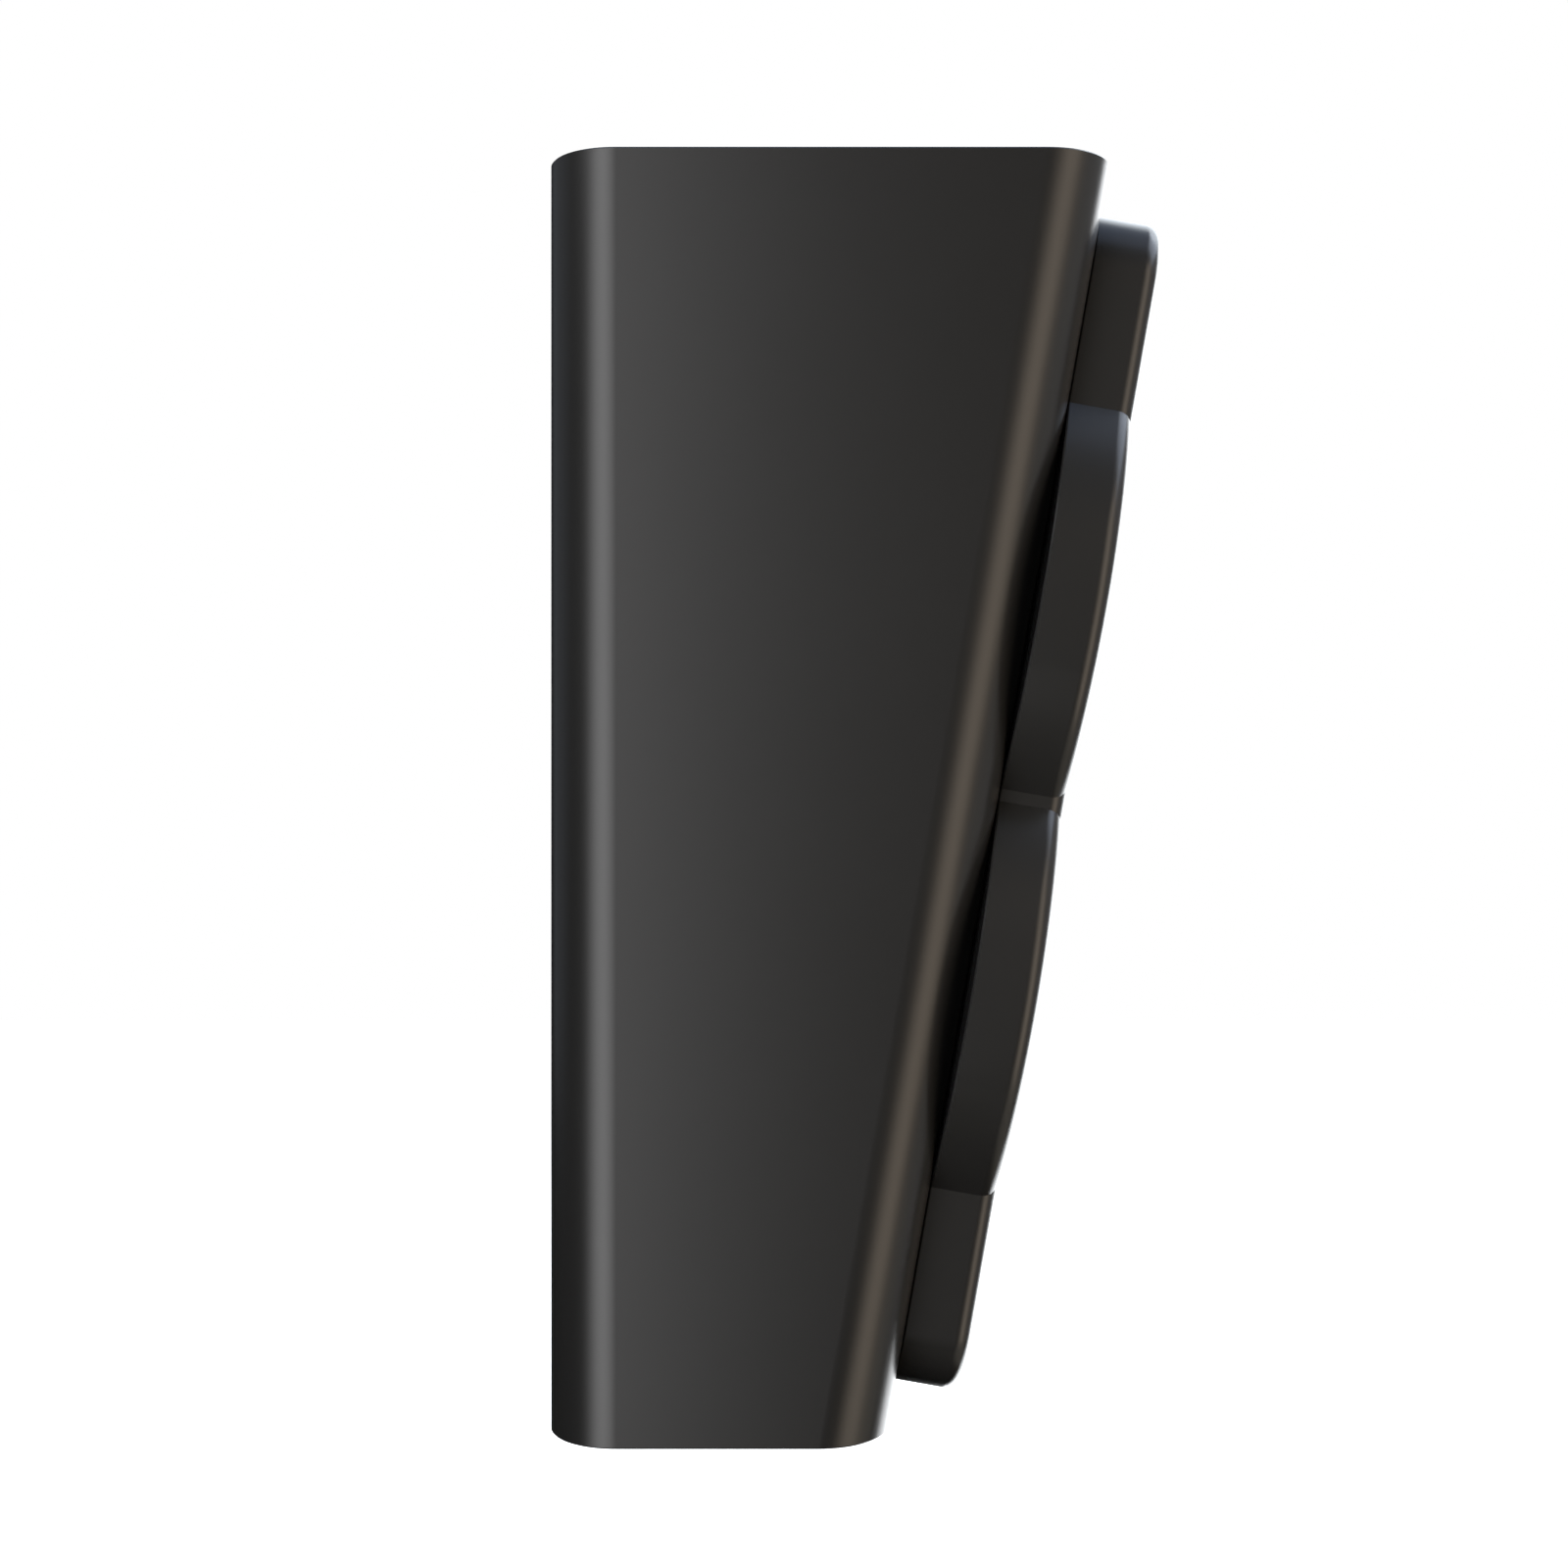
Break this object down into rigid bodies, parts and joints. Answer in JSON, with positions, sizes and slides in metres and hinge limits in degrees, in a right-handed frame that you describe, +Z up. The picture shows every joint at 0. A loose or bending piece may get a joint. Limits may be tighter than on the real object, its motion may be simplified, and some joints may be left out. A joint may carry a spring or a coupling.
{
  "type": "pedestrian traffic light",
  "caption": "Wall-mounted pedestrian signal head: a deep housing with a leaning front and a hinged door that holds a standing-figure and a walking-figure lamp.",
  "frame": {"origin": "middle of the flat back face, where it rests on a wall plate or a pole bracket", "axes": "+Z up, -Y out of the front through the lenses, +X towards the hinge side of the door"},
  "size_m": [0.3588, 0.3426, 0.7],
  "materials": {
    "housing_coat": "dark charcoal, satin",
    "door_coat": "dark charcoal, satin",
    "hinge_coat": "dark charcoal powder coat",
    "stainless_steel": "plain stainless steel",
    "zinc_steel": "zinc-plated steel",
    "seal_rubber": "matt black rubber",
    "black_plastic": "matt black plastic",
    "grey_plastic": "mid grey plastic",
    "can_plastic": "black moulded plastic",
    "mask_black": "dead matt black",
    "clear_lens": "clear polycarbonate with a faint smoke tint",
    "red_diffuser": "red translucent plastic",
    "green_diffuser": "blue-green translucent plastic",
    "circuit_board": "green solder mask"
  },
  "bodies": {
    "housing": {"housing_shell": "housing_coat", "top_cap": "housing_coat", "bottom_cap": "housing_coat", "top_cap_screw_1": "stainless_steel", "top_cap_screw_2": "stainless_steel", "top_cap_screw_3": "stainless_steel", "top_cap_screw_4": "stainless_steel", "bottom_cap_screw_1": "stainless_steel", "bottom_cap_screw_2": "stainless_steel", "bottom_cap_screw_3": "stainless_steel", "bottom_cap_screw_4": "stainless_steel", "vent_plug": "black_plastic", "mounting_plate": "zinc_steel", "cable_grommet": "seal_rubber", "din_rail": "zinc_steel", "terminal_block": "grey_plastic", "hinge_leaf_upper": "hinge_coat", "hinge_pin_upper": "stainless_steel", "hinge_screw_upper_1": "stainless_steel", "hinge_screw_upper_2": "stainless_steel", "latch_keeper_upper": "zinc_steel", "hinge_leaf_lower": "hinge_coat", "hinge_pin_lower": "stainless_steel", "hinge_screw_lower_1": "stainless_steel", "hinge_screw_lower_2": "stainless_steel", "latch_keeper_lower": "zinc_steel"},
    "door": {"door_frame": "door_coat", "door_seal": "seal_rubber", "red_lens_seal": "seal_rubber", "red_lens": "clear_lens", "red_can": "can_plastic", "red_figure_mask": "mask_black", "red_diffuser": "red_diffuser", "red_led_board": "circuit_board", "red_driver_board": "circuit_board", "red_clamp_ring": "zinc_steel", "red_ring_screw_1": "stainless_steel", "red_ring_screw_2": "stainless_steel", "red_ring_screw_3": "stainless_steel", "red_lead_gland": "grey_plastic", "green_lens_seal": "seal_rubber", "green_lens": "clear_lens", "green_can": "can_plastic", "green_figure_mask": "mask_black", "green_diffuser": "green_diffuser", "green_led_board": "circuit_board", "green_driver_board": "circuit_board", "green_clamp_ring": "zinc_steel", "green_ring_screw_1": "stainless_steel", "green_ring_screw_2": "stainless_steel", "green_ring_screw_3": "stainless_steel", "green_lead_gland": "grey_plastic"},
    "upper_latch": {"latch_screw_upper": "stainless_steel", "latch_cam_upper": "zinc_steel", "latch_nut_upper": "stainless_steel"},
    "lower_latch": {"latch_screw_lower": "stainless_steel", "latch_cam_lower": "zinc_steel", "latch_nut_lower": "stainless_steel"}
  },
  "joints": [
    {"name": "door_swing", "type": "hinge", "parent": "housing", "child": "door", "pos_m": [0.181, -0.25785, -0.00174], "axis": [0, -0.1736, 0.9848], "range_deg": [0, 110]},
    {"name": "upper_latch_turn", "type": "hinge", "parent": "door", "child": "upper_latch", "pos_m": [-0.095, -0.3125, 0.25061], "axis": [0, -0.9848, -0.1736], "range_deg": [0, 90]},
    {"name": "lower_latch_turn", "type": "hinge", "parent": "door", "child": "lower_latch", "pos_m": [-0.095, -0.2229, -0.25755], "axis": [0, 0.9848, 0.1736], "range_deg": [0, 90]}
  ]
}
